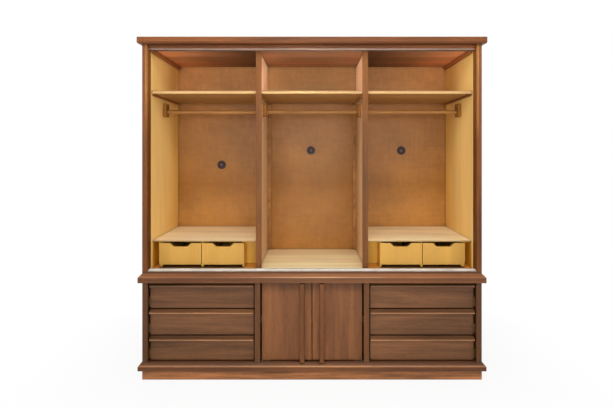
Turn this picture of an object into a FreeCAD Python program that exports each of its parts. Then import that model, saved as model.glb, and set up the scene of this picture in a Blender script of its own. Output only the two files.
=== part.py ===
# A walnut wardrobe wall unit: an open hanging case with pale lined bays, standing on a low case
# of drawers and a two-door cupboard. Millimetres, +Z up, the front faces -Y.
import FreeCAD, Part
import os
import re

# Driving sizes. A setback is counted from the front plane of the stiles, a height or a rise
# from the floor of the case that the piece stands in.
SIZES = {
    # both cases
    "case_width": 2026,
    "case_depth": 610,
    "bay_line": 326,
    "edge_ease": 1.5,
    # plinth, boards and back of the lower case
    "plinth_height": 80,
    "plinth_thickness": 20,
    "lower_bottom_thickness": 20,
    "lower_opening_height": 485,
    "lower_top_thickness": 30,
    "lower_side_thickness": 20,
    "lower_partition_thickness": 20,
    "lower_back_thickness": 10,
    "lower_stile_width": 32,
    "lower_stile_depth": 22,
    # mouldings round the foot and the waist
    "moulding_overhang": 20,
    "moulding_ease": 5,
    "base_moulding_drop": 22.5,
    "base_moulding_nose": 27.5,
    "base_moulding_bevel": 18.5,
    "waist_moulding_drop": 35.5,
    "waist_moulding_nose": 33,
    "waist_moulding_bevel": 20.5,
    # drawer fronts and doors
    "front_recess": 24,
    "front_thickness": 20,
    "front_side_gap": 8,
    "front_top_gap": 12,
    "front_bottom_gap": 7,
    "drawer_gap": 7,
    "bottom_front_trim": 8.5,
    "lip_height": 24,
    "lip_nose": 10,
    "lip_ease": 3.5,
    # drawer boxes and what they run on
    "drawer_box_inset": 6,
    "drawer_back_gap": 56,
    "drawer_box_rise": 16,
    "drawer_box_drop": 24,
    "drawer_side_thickness": 14,
    "drawer_bottom_rise": 6,
    "drawer_bottom_thickness": 6,
    "runner_height": 12,
    "runner_play": 0.5,
    "runner_setback": 2,
    "guide_height": 40,
    "guide_play": 1,
    # cupboard
    "door_meeting_gap": 4,
    "pull_inset": 43,
    "pull_width": 28,
    "pull_depth": 40,
    "pull_round": 6,
    "cupboard_shelf_height": 235,
    "cupboard_shelf_thickness": 18,
    "cupboard_shelf_setback": 30,
    "hinge_play": 1,
    "hinge_pin_radius": 2,
    "hinge_pin_clearance": 0.05,
    "hinge_eye_clearance": 0.5,
    "hinge_plate_length": 50,
    "hinge_plate_width": 16,
    "catch_width": 40,
    "catch_depth": 14,
    "catch_height": 30,
    "catch_gap": 0.3,
    "strike_thickness": 1.5,
    # boards, sides and back of the upper case
    "upper_bottom_thickness": 30,
    "upper_opening_height": 1340,
    "ceiling_thickness": 29,
    "upper_side_thickness": 18,
    "lining_thickness": 10,
    "upper_back_thickness": 11,
    "stile_width": 30,
    "stile_depth": 59,
    "stile_round": 14,
    "divider_setback": 3,
    "divider_thickness": 18,
    "facing_width": 34,
    "facing_thickness": 12,
    # cornice and frieze
    "cornice_thickness": 26,
    "cornice_overhang": 24,
    "cornice_bed_height": 14,
    "cornice_bed_round": 11,
    "frieze_recess": 20,
    "frieze_drop": 3,
    # sliding-door tracks
    "top_track_depth": 34,
    "top_track_height": 8,
    "track_wall": 1.5,
    "bottom_track_setback": 5,
    "track_rib_width": 3,
    "track_rib_height": 7,
    # shelves, rails and grommets of the bays
    "hat_shelf_height": 1071,
    "hat_shelf_thickness": 18,
    "cleat_width": 20,
    "shelf_cleat_width": 14,
    "shelf_cleat_height": 11,
    "shelf_cleat_setback": 15,
    "batten_width": 24,
    "batten_thickness": 14,
    "rail_drop": 90,
    "rail_setback": 305,
    "rail_radius": 12,
    "rail_clearance": 0.3,
    "rail_end_gap": 1,
    "bracket_thickness": 22,
    "bracket_depth": 66,
    "bracket_height": 86,
    "bracket_below_rail": 33,
    "grommet_height": 726,
    "left_grommet_height": 621,
    "grommet_shift": 8,
    "grommet_flange_radius": 31,
    "grommet_flange_thickness": 3,
    "grommet_tube_radius": 28,
    "grommet_bore_radius": 25,
    "grommet_clearance": 0.3,
    "grommet_cap_thickness": 4,
    "grommet_cap_recess": 1,
    # inner chests and their drawers
    "chest_setback": 95,
    "chest_height": 160,
    "chest_outer_gap": 41,
    "chest_inner_gap": 78,
    "chest_panel_thickness": 12,
    "chest_stop_gap": 1,
    "chest_filler_setback": 200,
    "chest_top_setback": 90,
    "chest_top_thickness": 8,
    "inner_front_thickness": 18,
    "inner_front_rise": 17,
    "inner_front_drop": 10,
    "inner_front_gap": 4,
    "scoop_top_width": 132,
    "scoop_bottom_width": 85,
    "scoop_depth": 23,
    "scoop_round": 12,
    "inner_back_gap": 56,
    "inner_box_rise": 12,
    "inner_box_drop": 5,
    "inner_box_gap": 6,
    "inner_side_thickness": 10,
    "inner_bottom_rise": 4,
    "inner_bottom_thickness": 5,
    "inner_runner_height": 10,
}

SIDES = ("left", "right")
DRAWER_ROWS = ("top", "middle", "bottom")

doc = FreeCAD.newDocument("wardrobe")
sheet = doc.addObject("Spreadsheet::Sheet", "sizes")
for row, (alias, value) in enumerate(SIZES.items(), 1):
    sheet.set(f"A{row}", alias)
    sheet.set(f"B{row}", str(value))
    sheet.setAlias(f"B{row}", alias)
doc.recompute()

nodes = []
# Two places nearer than this count as one.
SAME_PLACE = 0.01


# How a piece is made

def bind(item, prop, formula):
    """Ties one property of an object to a formula of the sheet's names."""
    item.setExpression(prop, re.sub(r"[a-z][a-z_]*", r"sizes.\g<0>", formula))


def span(item, x, y, z):
    """Sets a box between two places along each axis."""
    for length, axis, (low, high) in zip(("Length", "Width", "Height"), "xyz", (x, y, z)):
        bind(item, length, f"({high}) - ({low})")
        bind(item, f"Placement.Base.{axis}", low)


def board(label, x, y, z):
    """A plain rectangular board."""
    item = doc.addObject("Part::Box", label)
    span(item, x, y, z)
    return item


def body_of(label, x, y, z):
    """A body that starts as a block."""
    body = doc.addObject("PartDesign::Body", label)
    span(body.newObject("PartDesign::AdditiveBox", f"{label}_blank"), x, y, z)
    return body


def add_block(body, kind, name, x, y, z):
    """Adds a block to a body, or cuts one out of it."""
    span(body.newObject(f"PartDesign::{kind}Box", name), x, y, z)


def ease(body, radius, wanted):
    """Rounds the edges for which wanted(middle of the edge, box of the body) holds."""
    doc.recompute()
    base = body.Tip
    box = base.Shape.BoundBox
    chosen = [f"Edge{number}" for number, edge in enumerate(base.Shape.Edges, 1)
              if wanted(edge.CenterOfMass, box)]
    fillet = body.newObject("PartDesign::Fillet", f"{body.Name}_eased")
    fillet.Base = (base, chosen)
    bind(fillet, "Radius", radius)
    return body


def same(place, other):
    return abs(place - other) < SAME_PLACE


def on_front(middle, box):
    return same(middle.y, box.YMin)


def eased_board(label, x, y, z):
    """A board whose front arrises are taken off."""
    return ease(body_of(label, x, y, z), "edge_ease", on_front)


def wedge(item, x, y, z, far_x, far_z):
    """Sets a wedge: x and z at its near end, far_x and far_z at its far end along y."""
    for name, (low, high) in {"X": x, "Y": y, "Z": z, "X2": far_x, "Z2": far_z}.items():
        bind(item, f"{name}min", low)
        bind(item, f"{name}max", high)


def rod(label, radius, length, x, y, z, turn=None):
    """A round rod that starts at a place and runs up, or along the axis that turn gives."""
    item = doc.addObject("Part::Cylinder", label)
    if turn:
        item.Placement = FreeCAD.Placement(FreeCAD.Vector(), FreeCAD.Rotation(*turn))
    bind(item, "Radius", radius)
    bind(item, "Height", length)
    for axis, place in zip("xyz", (x, y, z)):
        bind(item, f"Placement.Base.{axis}", place)
    return item


def cut(label, base, tool):
    item = doc.addObject("Part::Cut", label)
    item.Base = base
    item.Tool = tool
    return item


def fuse(label, *pieces):
    item = doc.addObject("Part::MultiFuse", label)
    item.Shapes = list(pieces)
    return item


def node(piece):
    """Keeps a piece as a sub-part of its own."""
    nodes.append(piece)


def group(label, pieces):
    """Keeps like pieces together as one sub-part of separate solids."""
    item = doc.addObject("Part::Compound", label)
    item.Links = pieces
    node(item)


def mirrored(side, near, far):
    """The span between two distances from the middle, on the left or the right."""
    if side == "right":
        return near, far
    return f"-({far})", f"-({near})"


def about(middle, width):
    return f"({middle}) - {width} / 2", f"({middle}) + {width} / 2"


ALONG_X = (FreeCAD.Vector(0, 1, 0), 90)
ALONG_Y = (FreeCAD.Vector(1, 0, 0), -90)
Y_TO_Z = FreeCAD.Rotation(FreeCAD.Vector(1, 0, 0), 90)

# Places that several pieces share

half = "(case_width / 2)"
front = "(-(case_depth - cornice_overhang) / 2)"
back = f"({front} + case_depth)"
whole_width = (f"-{half}", half)

lower_floor = "(plinth_height + lower_bottom_thickness)"
lower_ceiling = f"({lower_floor} + lower_opening_height)"
lower_top = f"({lower_ceiling} + lower_top_thickness)"
upper_floor = f"({lower_top} + upper_bottom_thickness)"
upper_ceiling = f"({upper_floor} + upper_opening_height)"
case_top = f"({upper_ceiling} + ceiling_thickness)"
lower_height = (lower_floor, lower_ceiling)
upper_height = (upper_floor, upper_ceiling)

lower_stile_back = f"({front} + lower_stile_depth)"
lower_back_face = f"({back} - lower_back_thickness)"
lower_side_face = f"({half} - lower_side_thickness)"
partition_outer = "(bay_line + lower_partition_thickness / 2)"
partition_inner = "(bay_line - lower_partition_thickness / 2)"
face = f"({front} + front_recess)"
face_back = f"({face} + front_thickness)"

stile_back = f"({front} + stile_depth)"
upper_back_face = f"({back} - upper_back_thickness)"
lining_face = f"({half} - upper_side_thickness - lining_thickness)"
facing_front = f"({stile_back} + divider_setback)"
facing_back = f"({facing_front} + facing_thickness)"
divider_outer = "(bay_line + facing_width / 2)"
divider_inner = f"({divider_outer} - divider_thickness)"
frieze_bottom = f"({upper_ceiling} - frieze_drop)"
between_stiles = (f"-({half} - stile_width)", f"{half} - stile_width")


# Mouldings: one run across the front and a return along each side, mitred at the corners

def moulding_run(label, overhang, bottom, nose_top, top, run):
    """One run of a moulding whose upper face may slope from its nose back to the case."""
    body = doc.addObject("PartDesign::Body", f"{label}_{run}")
    blank = body.newObject("PartDesign::AdditiveWedge", f"{label}_{run}_blank")
    nose = (bottom, nose_top)
    root = (bottom, top)
    if run == "front":
        outer = (f"-({half} + {overhang})", f"{half} + {overhang}")
        wedge(blank, outer, (f"{front} - {overhang}", front), nose, whole_width, root)
        return body
    if run == "left":
        inner, outer = (front, back), (f"{front} - {overhang}", back)
        turn = 90
    else:
        inner, outer = (f"-{back}", f"-{front}"), (f"-{back}", f"{overhang} - {front}")
        turn = -90
    wedge(blank, inner, (half, f"{half} + {overhang}"), root, outer, nose)
    blank.Placement = FreeCAD.Placement(FreeCAD.Vector(), FreeCAD.Rotation(FreeCAD.Vector(0, 0, 1), turn))
    return body


def on_nose(run, middle, box):
    """Whether an edge lies along the outer face of a run."""
    if run == "front":
        return same(middle.y, box.YMin) and same(middle.x, 0)
    outer = box.XMin if run == "left" else box.XMax
    at_end = same(middle.y, box.YMin) or same(middle.y, box.YMax)
    return same(middle.x, outer) and not at_end


def bevelled_moulding(label, joint, size):
    """A moulding with a flat nose and a bevel above it, over the joint of two cases."""
    bottom = f"({joint} - {size}_drop)"
    nose_top = f"({bottom} + {size}_nose)"
    top = f"({nose_top} + {size}_bevel)"
    runs = []
    for run in ("front", *SIDES):
        body = moulding_run(label, "moulding_overhang", bottom, nose_top, top, run)
        runs.append(ease(body, "moulding_ease", lambda middle, box: on_nose(run, middle, box)))
    group(label, runs)


# Lower case: plinth, bottom and top boards, sides, partitions, stiles and back

plinth_height = ("0", "plinth_height")
plinth_inner = f"({half} - plinth_thickness)"
plinth_sides = [board(f"plinth_{side}", mirrored(side, plinth_inner, half),
                      (f"{front} + plinth_thickness", f"{back} - plinth_thickness"), plinth_height)
                for side in SIDES]
group("plinth", plinth_sides + [
    board("plinth_front", whole_width, (front, f"{front} + plinth_thickness"), plinth_height),
    board("plinth_back", whole_width, (f"{back} - plinth_thickness", back), plinth_height)])
bevelled_moulding("base_moulding", "plinth_height", "base_moulding")

node(board("lower_bottom_board", whole_width, (front, back), ("plinth_height", lower_floor)))
node(board("lower_top_board", whole_width, (front, back), (lower_ceiling, lower_top)))
lower_stiles = []
lower_partitions = []
for side in SIDES:
    node(board(f"lower_side_{side}", mirrored(side, lower_side_face, half),
               (lower_stile_back, back), lower_height))
    lower_partitions.append(board(f"lower_partition_{side}", mirrored(side, partition_inner, partition_outer),
                                  (lower_stile_back, lower_back_face), lower_height))
    for name, (near, far) in {"outer": (f"{half} - lower_stile_width", half),
                              "inner": about("bay_line", "lower_stile_width")}.items():
        lower_stiles.append(eased_board(f"lower_stile_{name}_{side}", mirrored(side, near, far),
                                        (front, lower_stile_back), lower_height))
group("lower_partitions", lower_partitions)
group("lower_stiles", lower_stiles)
node(board("lower_back_panel", (f"-{lower_side_face}", lower_side_face),
           (lower_back_face, back), lower_height))
bevelled_moulding("waist_moulding", lower_top, "waist_moulding")

# Lower drawers: a board front with a lip along its top that is flush with the stiles, on a box
# whose sides run on hardwood strips

drawer_near = "(bay_line + lower_stile_width / 2 + front_side_gap)"
drawer_far = f"({half} - lower_stile_width - front_side_gap)"
box_near = f"({drawer_near} + drawer_box_inset)"
box_far = f"({drawer_far} - drawer_box_inset)"
fronts_height = "(lower_opening_height - front_top_gap - front_bottom_gap + drawer_gap + bottom_front_trim)"
drawer_pitch = f"({fronts_height} / {len(DRAWER_ROWS)})"
fronts_top = f"({lower_ceiling} - front_top_gap)"
fronts_bottom = f"({lower_floor} + front_bottom_gap)"


def drawer_front(name, side, bottom, top):
    across = mirrored(side, drawer_near, drawer_far)
    panel = body_of(f"{name}_panel", across, (face, face_back), (bottom, top))
    ease(panel, "edge_ease", lambda middle, box: on_front(middle, box) and not same(middle.z, box.ZMax))
    lip = doc.addObject("PartDesign::Body", f"{name}_lip")
    lip_bottom = f"({top} - lip_height)"
    wedge(lip.newObject("PartDesign::AdditiveWedge", f"{name}_lip_blank"), across, (front, face),
          (lip_bottom, f"{lip_bottom} + lip_nose"), across, (lip_bottom, top))
    ease(lip, "lip_ease", on_front)
    group(name, [panel, lip])


def drawer_box(name, side, bottom, top):
    height = (f"{bottom} + drawer_box_rise", f"{top} - drawer_box_drop")
    end = f"({lower_back_face} - drawer_back_gap)"
    inner_near = f"({box_near} + drawer_side_thickness)"
    inner_far = f"({box_far} - drawer_side_thickness)"
    inside = mirrored(side, inner_near, inner_far)
    floor = f"({bottom} + drawer_box_rise + drawer_bottom_rise)"
    group(name, [
        board(f"{name}_near", mirrored(side, box_near, inner_near), (face_back, end), height),
        board(f"{name}_far", mirrored(side, inner_far, box_far), (face_back, end), height),
        board(f"{name}_back", inside, (f"{end} - drawer_side_thickness", end), height),
        board(f"{name}_bottom", inside, (face_back, f"{end} - drawer_side_thickness"),
              (floor, f"{floor} + drawer_bottom_thickness"))])


def drawer_runner(name, side, bottom):
    """The strip under each side of a drawer and the guide strip beside it."""
    along = (f"{face_back} + runner_setback", lower_back_face)
    top = f"({bottom} + drawer_box_rise - runner_play)"
    strip = (f"{top} - runner_height", top)
    guide = (top, f"{top} + guide_height")
    return [
        board(f"{name}_near", mirrored(side, partition_outer, f"{box_near} + drawer_side_thickness"),
              along, strip),
        board(f"{name}_near_guide", mirrored(side, partition_outer, f"{box_near} - guide_play"),
              along, guide),
        board(f"{name}_far", mirrored(side, f"{box_far} - drawer_side_thickness", lower_side_face),
              along, strip),
        board(f"{name}_far_guide", mirrored(side, f"{box_far} + guide_play", lower_side_face),
              along, guide)]


runners = []
for side in SIDES:
    for number, row in enumerate(DRAWER_ROWS):
        top = f"({fronts_top} - {number} * {drawer_pitch})"
        bottom = f"({top} - {drawer_pitch} + drawer_gap)"
        if row == DRAWER_ROWS[-1]:
            bottom = fronts_bottom
        drawer_front(f"drawer_front_{side}_{row}", side, bottom, top)
        drawer_box(f"drawer_box_{side}_{row}", side, bottom, top)
        runners += drawer_runner(f"runner_{side}_{row}", side, bottom)
group("drawer_runners", runners)

# Cupboard: a loose shelf on cleats, and two doors with bar pulls, knife hinges and magnet catches

shelf_bottom = f"({lower_floor} + cupboard_shelf_height)"
shelf_along = (f"{face_back} + cupboard_shelf_setback", lower_back_face)
node(board("cupboard_shelf", (f"-{partition_inner}", partition_inner), shelf_along,
           (shelf_bottom, f"{shelf_bottom} + cupboard_shelf_thickness")))
cleats = [board(f"cupboard_cleat_{side}", mirrored(side, f"{partition_inner} - cleat_width", partition_inner),
                shelf_along, (f"{shelf_bottom} - cleat_width", shelf_bottom))
          for side in SIDES]

door_free_edge = "(door_meeting_gap / 2)"
door_hinge_edge = "(bay_line - lower_stile_width / 2 - front_side_gap)"
pivot = "(bay_line - lower_stile_width / 2 - front_side_gap / 2)"
eye_radius = "(front_side_gap / 2 - hinge_eye_clearance)"
pull_near = f"({door_free_edge} + pull_inset)"


def pivot_rod(label, side, radius, height):
    """A round upright at the hinge line of a door."""
    low, high = height
    return rod(label, radius, f"({high}) - ({low})", mirrored(side, pivot, pivot)[0], face, low)


def door_plate(name, side, height):
    """A hinge plate on the edge of a door, with the eye that takes the pin."""
    plate = board(f"{name}_leaf", mirrored(side, f"{pivot} - hinge_plate_length", door_hinge_edge),
                  (face, f"{face} + hinge_plate_width"), height)
    arm = board(f"{name}_arm", mirrored(side, f"{pivot} - front_side_gap", pivot),
                (f"{face} - {eye_radius}", f"{face} + {eye_radius}"), height)
    eye = pivot_rod(f"{name}_eye", side, eye_radius, height)
    hole = pivot_rod(f"{name}_hole", side, "hinge_pin_radius + hinge_pin_clearance", height)
    return cut(name, fuse(f"{name}_blank", plate, arm, eye), hole)


def case_plate(name, side, height, pin_height):
    """A hinge plate on the case, with its pin riveted in."""
    plate = board(f"{name}_leaf", mirrored(side, *about(pivot, "hinge_plate_width")),
                  (lower_stile_back, f"{lower_stile_back} + hinge_plate_length"), height)
    eye = pivot_rod(f"{name}_eye", side, eye_radius, height)
    pin = pivot_rod(f"{name}_pin", side, "hinge_pin_radius", pin_height)
    return fuse(name, plate, eye, pin)


top_plate = "((front_top_gap - hinge_play) / 2)"
bottom_plate = "((front_bottom_gap - hinge_play) / 2)"
case_plates = []
catches = []
for side in SIDES:
    door = body_of(f"door_{side}", mirrored(side, door_free_edge, door_hinge_edge),
                   (face, face_back), (fronts_bottom, fronts_top))
    node(ease(door, "edge_ease", on_front))
    pull = body_of(f"door_pull_{side}", mirrored(side, pull_near, f"{pull_near} + pull_width"),
                   (f"{face} - pull_depth", face), (fronts_bottom, fronts_top))
    node(ease(pull, "pull_round",
              lambda middle, box: on_front(middle, box) and same(middle.z, box.Center.z)))
    behind_pull = mirrored(side, pull_near, f"{pull_near} + catch_width")
    strike_back = f"({face_back} + strike_thickness)"
    catch_bottom = f"({lower_ceiling} - catch_height)"
    group(f"door_fittings_{side}", [
        door_plate(f"door_plate_top_{side}", side, (fronts_top, f"{fronts_top} + {top_plate}")),
        door_plate(f"door_plate_bottom_{side}", side, (f"{fronts_bottom} - {bottom_plate}", fronts_bottom)),
        board(f"strike_{side}", behind_pull, (face_back, strike_back), (catch_bottom, fronts_top))])
    case_plates += [
        case_plate(f"case_plate_top_{side}", side, (f"{lower_ceiling} - {top_plate}", lower_ceiling),
                   (fronts_top, lower_ceiling)),
        case_plate(f"case_plate_bottom_{side}", side, (lower_floor, f"{lower_floor} + {bottom_plate}"),
                   (lower_floor, fronts_bottom))]
    catches.append(board(f"catch_{side}", behind_pull,
                         (f"{strike_back} + catch_gap", f"{strike_back} + catch_gap + catch_depth"),
                         (catch_bottom, lower_ceiling)))
group("hinge_case_plates", case_plates)
group("door_catches", catches)

# Upper case: bottom and ceiling boards, sides with their linings, stiles, frieze and dividers

node(board("upper_bottom_board", whole_width, (front, back), (lower_top, upper_floor)))
node(board("ceiling_board", whole_width, (stile_back, back), (upper_ceiling, case_top)))
linings = []
stiles = []
facings = []
for side in SIDES:
    node(board(f"upper_side_{side}", mirrored(side, f"{half} - upper_side_thickness", half),
               (stile_back, back), upper_height))
    linings.append(board(f"side_lining_{side}", mirrored(side, lining_face, f"{half} - upper_side_thickness"),
                         (stile_back, upper_back_face), upper_height))
    stile = body_of(f"upper_stile_{side}", mirrored(side, f"{half} - stile_width", half),
                    (front, stile_back), (upper_floor, case_top))
    stiles.append(ease(stile, "stile_round", lambda middle, box: on_front(middle, box) and same(
        middle.x, box.XMax if side == "left" else box.XMin)))
    node(board(f"divider_{side}", mirrored(side, divider_inner, divider_outer),
               (facing_back, upper_back_face), upper_height))
    facings.append(eased_board(f"divider_facing_{side}", mirrored(side, *about("bay_line", "facing_width")),
                               (facing_front, facing_back), upper_height))
group("side_linings", linings)
group("upper_stiles", stiles)
group("divider_facings", facings)
node(board("frieze_rail", between_stiles, (f"{front} + frieze_recess", stile_back),
           (frieze_bottom, case_top)))

# Cornice: a slab over the whole case, on a quarter-round bed moulding

slab = body_of("cornice_top", (f"-({half} + cornice_overhang)", f"{half} + cornice_overhang"),
               (f"{front} - cornice_overhang", back), (case_top, f"{case_top} + cornice_thickness"))
node(ease(slab, "edge_ease", on_front))
bed_bottom = f"({case_top} - cornice_bed_height)"
bed_runs = []
for run in ("front", *SIDES):
    body = moulding_run("cornice_bed", "cornice_overhang", bed_bottom, case_top, case_top, run)
    bed_runs.append(ease(body, "cornice_bed_round",
                         lambda middle, box: on_nose(run, middle, box) and same(middle.z, box.ZMin)))
bed_filler = board("cornice_bed_filler", between_stiles, (front, f"{front} + frieze_recess"),
                   (bed_bottom, case_top))
group("cornice_moulding", bed_runs + [bed_filler])

# Sliding-door tracks: a double channel under the frieze and a plate with two ribs on the floor

track_front = f"({stile_back} - top_track_depth)"
channel_depth = "((top_track_depth - 3 * track_wall) / 2)"
track_bottom = f"({frieze_bottom} - top_track_height)"
top_track = body_of("top_track", between_stiles, (track_front, stile_back), (track_bottom, frieze_bottom))
for number in range(2):
    start = f"({track_front} + track_wall + {number} * ({channel_depth} + track_wall))"
    add_block(top_track, "Subtractive", f"top_track_channel_{number}", between_stiles,
              (start, f"{start} + {channel_depth}"), (track_bottom, f"{frieze_bottom} - track_wall"))
node(top_track)

sill_front = f"({front} + bottom_track_setback)"
plate_top = f"({upper_floor} + track_wall)"
bottom_track = body_of("bottom_track", between_stiles, (sill_front, stile_back), (upper_floor, plate_top))
for number in (1, 2):
    middle = f"{sill_front} + {number} * (stile_depth - bottom_track_setback) / 3"
    add_block(bottom_track, "Additive", f"bottom_track_rib_{number}", between_stiles,
              about(middle, "track_rib_width"), (plate_top, f"{plate_top} + track_rib_height"))
node(bottom_track)

# Bays: back panel with a grommet, hat shelf on cleats, and a hanging rail that drops into the slots
# of its brackets. The outer bays have a cleat under the ceiling, the centre bay battens at its back.

back_joint = f"({divider_outer} - divider_thickness / 2)"
side_inside = f"({half} - upper_side_thickness)"
BAYS = {
    "left": (mirrored("left", divider_outer, lining_face), mirrored("left", back_joint, side_inside),
             "left_grommet_height", "0"),
    "centre": ((f"-{divider_inner}", divider_inner), (f"-{back_joint}", back_joint),
               "grommet_height", "-grommet_shift"),
    "right": ((divider_outer, lining_face), (back_joint, side_inside),
              "grommet_height", "-grommet_shift"),
}
inside_depth = (facing_back, upper_back_face)
shelf_height = f"({upper_floor} + hat_shelf_height)"
cleat_bottom = f"({shelf_height} - shelf_cleat_height)"
rail_middle = f"({shelf_height} - rail_drop)"
rail_line = f"({front} + rail_setback)"
seat_radius = "(rail_radius + rail_clearance)"

panels = []
sleeves = []
caps = []
shelves = []
brackets = []
rails = []
for bay, (across, panel_across, grommet_height, grommet_shift) in BAYS.items():
    low, high = across
    hole_x = f"(({low}) + ({high})) / 2 + {grommet_shift}"
    hole_z = f"{upper_floor} + {grommet_height}"
    panel = board(f"{bay}_panel", panel_across, (upper_back_face, back), upper_height)
    panels.append(cut(f"back_panel_{bay}", panel, rod(
        f"{bay}_panel_hole", "grommet_tube_radius + grommet_clearance", "upper_back_thickness",
        hole_x, upper_back_face, hole_z, ALONG_Y)))
    mouth = f"({upper_back_face} - grommet_flange_thickness)"
    flange = rod(f"{bay}_flange", "grommet_flange_radius", "grommet_flange_thickness",
                 hole_x, mouth, hole_z, ALONG_Y)
    tube = rod(f"{bay}_tube", "grommet_tube_radius", "upper_back_thickness",
               hole_x, upper_back_face, hole_z, ALONG_Y)
    bore = rod(f"{bay}_bore", "grommet_bore_radius", "grommet_flange_thickness + upper_back_thickness",
               hole_x, mouth, hole_z, ALONG_Y)
    sleeves.append(cut(f"grommet_sleeve_{bay}", fuse(f"{bay}_sleeve_blank", flange, tube), bore))
    caps.append(rod(f"grommet_cap_{bay}", "grommet_bore_radius - grommet_clearance", "grommet_cap_thickness",
                    hole_x, f"{mouth} + grommet_cap_recess", hole_z, ALONG_Y))

    shelves.append(eased_board(f"hat_shelf_{bay}", across, inside_depth,
                               (shelf_height, f"{shelf_height} + hat_shelf_thickness")))
    for end, (near, far) in {"low": (low, f"({low}) + shelf_cleat_width"),
                             "high": (f"({high}) - shelf_cleat_width", high)}.items():
        cleats.append(board(f"shelf_cleat_{bay}_{end}", (near, far),
                            (f"{facing_back} + shelf_cleat_setback", upper_back_face),
                            (cleat_bottom, shelf_height)))
    rails.append(rod(f"hanging_rail_{bay}", "rail_radius", f"({high}) - ({low}) - 2 * rail_end_gap",
                     f"({low}) + rail_end_gap", rail_line, rail_middle, ALONG_X))
    bracket_bottom = f"({rail_middle} - bracket_below_rail)"
    bracket_top = f"({bracket_bottom} + bracket_height)"
    for end, (near, far) in {"low": (low, f"({low}) + bracket_thickness"),
                             "high": (f"({high}) - bracket_thickness", high)}.items():
        name = f"bracket_{bay}_{end}"
        block = eased_board(f"{name}_block", (near, far), about(rail_line, "bracket_depth"),
                            (bracket_bottom, bracket_top))
        seat = rod(f"{name}_seat", seat_radius, "bracket_thickness", near, rail_line, rail_middle, ALONG_X)
        slot = board(f"{name}_slot", (near, far), about(rail_line, f"2 * {seat_radius}"),
                     (rail_middle, bracket_top))
        brackets.append(cut(name, block, fuse(f"{name}_notch", seat, slot)))
for side in SIDES:
    by_lining = mirrored(side, f"{lining_face} - cleat_width", lining_face)
    cleats.append(board(f"ceiling_cleat_{side}", by_lining, inside_depth,
                        (f"{upper_ceiling} - cleat_width", upper_ceiling)))
    by_divider = mirrored(side, f"{divider_inner} - batten_width", divider_inner)
    cleats.append(board(f"back_batten_{side}", by_divider,
                        (f"{upper_back_face} - batten_thickness", upper_back_face),
                        (upper_floor, cleat_bottom)))
group("back_panels", panels)
group("grommet_sleeves", sleeves)
group("grommet_caps", caps)
group("hat_shelves", shelves)
group("cleats", cleats)
group("hanging_rails", rails)
group("rail_brackets", brackets)

# Inner chests: three upright panels with runner strips, a filler board at each side, a thin top
# across the bay, and two drawers whose fronts cover the panels and have a finger scoop on top

chest_near = f"({divider_outer} + chest_inner_gap)"
chest_far = f"({lining_face} - chest_outer_gap)"
chest_middle = f"(({chest_near} + {chest_far}) / 2)"
inner_face = f"({front} + chest_setback)"
inner_back = f"({inner_face} + inner_front_thickness)"
chest_along = (f"{inner_back} + chest_stop_gap", upper_back_face)
filler_face = f"({front} + chest_filler_setback)"
filler_along = (filler_face, f"{filler_face} + chest_panel_thickness")
chest_top = f"({upper_floor} + chest_height)"
inner_bottom = f"({upper_floor} + inner_front_rise)"
inner_top = f"({chest_top} - inner_front_drop)"
inner_box_bottom = f"({inner_bottom} + inner_box_rise)"
scoop_bottom = f"({inner_top} - scoop_depth)"
middle_near, middle_far = about(chest_middle, "chest_panel_thickness")
# Each drawer's front, and the space between the panels that its box runs in.
CELLS = {
    "inner": ((chest_near, f"{chest_middle} - inner_front_gap / 2"),
              (f"({chest_near} + chest_panel_thickness)", f"({middle_near})")),
    "outer": ((f"{chest_middle} + inner_front_gap / 2", chest_far),
              (f"({middle_far})", f"({chest_far} - chest_panel_thickness)")),
}


def flat_of_scoop(shape):
    """Height of the scoop's flat bottom: the only level that is neither foot nor top of the front."""
    levels = {round(vertex.Z, 3) for vertex in shape.Vertexes}
    return sorted(levels)[1]


def scooped_front(name, across):
    """A drawer front with a finger scoop: a shallow trapezoid with round lower corners."""
    low, high = across
    body = body_of(name, across, (inner_face, inner_back), (inner_bottom, inner_top))
    scoop = body.newObject("PartDesign::SubtractiveWedge", f"{name}_scoop")
    scoop.Placement = FreeCAD.Placement(FreeCAD.Vector(), Y_TO_Z)
    middle = f"(({low}) + ({high})) / 2"
    thickness = (f"-({inner_back})", f"-({inner_face})")
    wedge(scoop, about(middle, "scoop_bottom_width"), (scoop_bottom, inner_top), thickness,
          about(middle, "scoop_top_width"), thickness)
    doc.recompute()
    scoop_level = flat_of_scoop(scoop.Shape)
    return ease(body, "scoop_round", lambda middle, box: (
        same(middle.z, scoop_level) and same(middle.y, box.Center.y)))


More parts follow.
